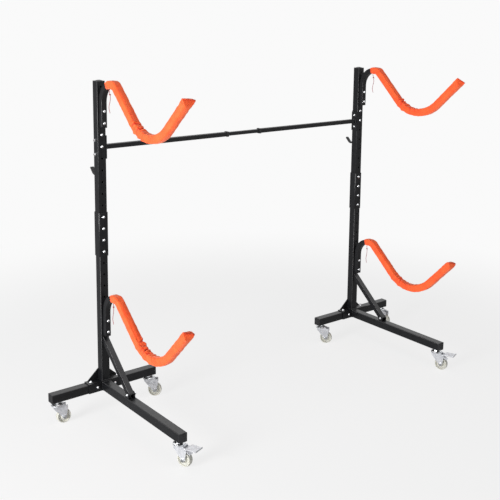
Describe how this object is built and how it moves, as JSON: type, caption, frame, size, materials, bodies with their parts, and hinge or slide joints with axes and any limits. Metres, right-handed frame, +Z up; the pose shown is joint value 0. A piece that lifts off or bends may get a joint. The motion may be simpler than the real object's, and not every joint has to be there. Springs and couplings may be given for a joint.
{
  "type": "kayak rack",
  "caption": "Freestanding kayak rack on casters: two posts with padded cradle arms, joined by a telescoping crossbar.",
  "frame": {"origin": "on the floor, under the middle of the whole rack", "axes": "+X along the crossbar towards the right stand, +Y from the arms back to the posts, +Z up"},
  "size_m": [2.022, 0.7602, 1.451],
  "materials": {
    "black_steel": "satin",
    "bright_zinc": "satin",
    "fork_zinc": "satin",
    "orange_sleeve": "matte",
    "red_cord": "matte",
    "black_plastic": "matte",
    "coated_hook": "matte",
    "ivory_nylon": "gloss"
  },
  "bodies": {
    "left_stand": {"left_crosspiece": "black_steel", "left_leg": "black_steel", "left_lower_post": "black_steel", "left_upper_post": "black_steel", "left_splice_sleeve": "black_steel", "left_brace": "black_steel", "left_end_plugs": "black_plastic", "left_lower_arm": "black_steel", "left_upper_arm": "black_steel", "left_lower_pad": "orange_sleeve", "left_upper_pad": "orange_sleeve", "left_lower_cord": "red_cord", "left_upper_cord": "red_cord", "left_hook": "coated_hook", "left_bolts": "bright_zinc", "left_caster_stems": "bright_zinc", "bar_left_tube": "black_steel", "bar_left_collar": "black_plastic"},
    "crossbar_inner": {"bar_inner_tube": "black_steel"},
    "right_stand": {"right_crosspiece": "black_steel", "right_leg": "black_steel", "right_lower_post": "black_steel", "right_upper_post": "black_steel", "right_splice_sleeve": "black_steel", "right_brace": "black_steel", "right_end_plugs": "black_plastic", "right_lower_arm": "black_steel", "right_upper_arm": "black_steel", "right_lower_pad": "orange_sleeve", "right_upper_pad": "orange_sleeve", "right_lower_cord": "red_cord", "right_upper_cord": "red_cord", "right_hook": "coated_hook", "right_bolts": "bright_zinc", "right_caster_stems": "bright_zinc", "bar_right_tube": "black_steel", "bar_right_collar": "black_plastic"},
    "left_front_caster": {"left_front_fork": "fork_zinc", "left_front_axle": "bright_zinc"},
    "left_front_wheel": {"left_front_wheel": "ivory_nylon"},
    "left_pedal": {"left_brake_pedal": "fork_zinc"},
    "left_outer_caster": {"left_outer_fork": "fork_zinc", "left_outer_axle": "bright_zinc"},
    "left_outer_wheel": {"left_outer_wheel": "ivory_nylon"},
    "left_inner_caster": {"left_inner_fork": "fork_zinc", "left_inner_axle": "bright_zinc"},
    "left_inner_wheel": {"left_inner_wheel": "ivory_nylon"},
    "left_lock": {"bar_left_lock": "bright_zinc"},
    "right_front_caster": {"right_front_fork": "fork_zinc", "right_front_axle": "bright_zinc"},
    "right_front_wheel": {"right_front_wheel": "ivory_nylon"},
    "right_pedal": {"right_brake_pedal": "fork_zinc"},
    "right_outer_caster": {"right_outer_fork": "fork_zinc", "right_outer_axle": "bright_zinc"},
    "right_outer_wheel": {"right_outer_wheel": "ivory_nylon"},
    "right_inner_caster": {"right_inner_fork": "fork_zinc", "right_inner_axle": "bright_zinc"},
    "right_inner_wheel": {"right_inner_wheel": "ivory_nylon"},
    "right_lock": {"bar_right_lock": "bright_zinc"}
  },
  "joints": [
    {"name": "crossbar_slide", "type": "slide", "parent": "left_stand", "child": "crossbar_inner", "axis": [1, 0, 0], "range_m": [-0.0905, 0.212]},
    {"name": "right_stand_slide", "type": "slide", "parent": "crossbar_inner", "child": "right_stand", "axis": [1, 0, 0], "range_m": [-0.0905, 0.212]},
    {"name": "left_front_swivel", "type": "hinge", "parent": "left_stand", "child": "left_front_caster", "pos_m": [-0.757, -0.28297, 0.0837], "axis": [0, 0, 1], "continuous": true},
    {"name": "left_front_roll", "type": "hinge", "parent": "left_front_caster", "child": "left_front_wheel", "pos_m": [-0.74725, -0.30975, 0.031], "axis": [0.9397, 0.342, 0], "continuous": true},
    {"name": "left_pedal_press", "type": "hinge", "parent": "left_front_caster", "child": "left_pedal", "pos_m": [-0.74469, -0.3168, 0.074], "axis": [0.9397, 0.342, 0], "range_deg": [0, 12]},
    {"name": "left_outer_swivel", "type": "hinge", "parent": "left_stand", "child": "left_outer_caster", "pos_m": [-0.983, 0.30503, 0.0837], "axis": [0, 0, 1], "continuous": true},
    {"name": "left_outer_roll", "type": "hinge", "parent": "left_outer_caster", "child": "left_outer_wheel", "pos_m": [-0.95478, 0.30106, 0.031], "axis": [0.1392, 0.9903, 0], "continuous": true},
    {"name": "left_inner_swivel", "type": "hinge", "parent": "left_stand", "child": "left_inner_caster", "pos_m": [-0.531, 0.30503, 0.0837], "axis": [0, 0, 1], "continuous": true},
    {"name": "left_inner_roll", "type": "hinge", "parent": "left_inner_caster", "child": "left_inner_wheel", "pos_m": [-0.50765, 0.28868, 0.031], "axis": [0.5736, 0.8192, 0], "continuous": true},
    {"name": "left_lock_turn", "type": "hinge", "parent": "left_stand", "child": "left_lock", "pos_m": [-0.134, 0.30503, 1.165], "axis": [0, 1, 0], "range_deg": [0, 720]},
    {"name": "right_front_swivel", "type": "hinge", "parent": "right_stand", "child": "right_front_caster", "pos_m": [0.757, -0.28297, 0.0837], "axis": [0, 0, 1], "continuous": true},
    {"name": "right_front_roll", "type": "hinge", "parent": "right_front_caster", "child": "right_front_wheel", "pos_m": [0.76675, -0.30975, 0.031], "axis": [0.9397, 0.342, 0], "continuous": true},
    {"name": "right_pedal_press", "type": "hinge", "parent": "right_front_caster", "child": "right_pedal", "pos_m": [0.76931, -0.3168, 0.074], "axis": [0.9397, 0.342, 0], "range_deg": [0, 12]},
    {"name": "right_outer_swivel", "type": "hinge", "parent": "right_stand", "child": "right_outer_caster", "pos_m": [0.983, 0.30503, 0.0837], "axis": [0, 0, 1], "continuous": true},
    {"name": "right_outer_roll", "type": "hinge", "parent": "right_outer_caster", "child": "right_outer_wheel", "pos_m": [0.99038, 0.2775, 0.031], "axis": [0.9659, 0.2588, 0], "continuous": true},
    {"name": "right_inner_swivel", "type": "hinge", "parent": "right_stand", "child": "right_inner_caster", "pos_m": [0.531, 0.30503, 0.0837], "axis": [0, 0, 1], "continuous": true},
    {"name": "right_inner_roll", "type": "hinge", "parent": "right_inner_caster", "child": "right_inner_wheel", "pos_m": [0.54932, 0.2832, 0.031], "axis": [0.766, 0.6428, 0], "continuous": true},
    {"name": "right_lock_turn", "type": "hinge", "parent": "right_stand", "child": "right_lock", "pos_m": [0.134, 0.30503, 1.165], "axis": [0, 1, 0], "range_deg": [0, 720]}
  ]
}
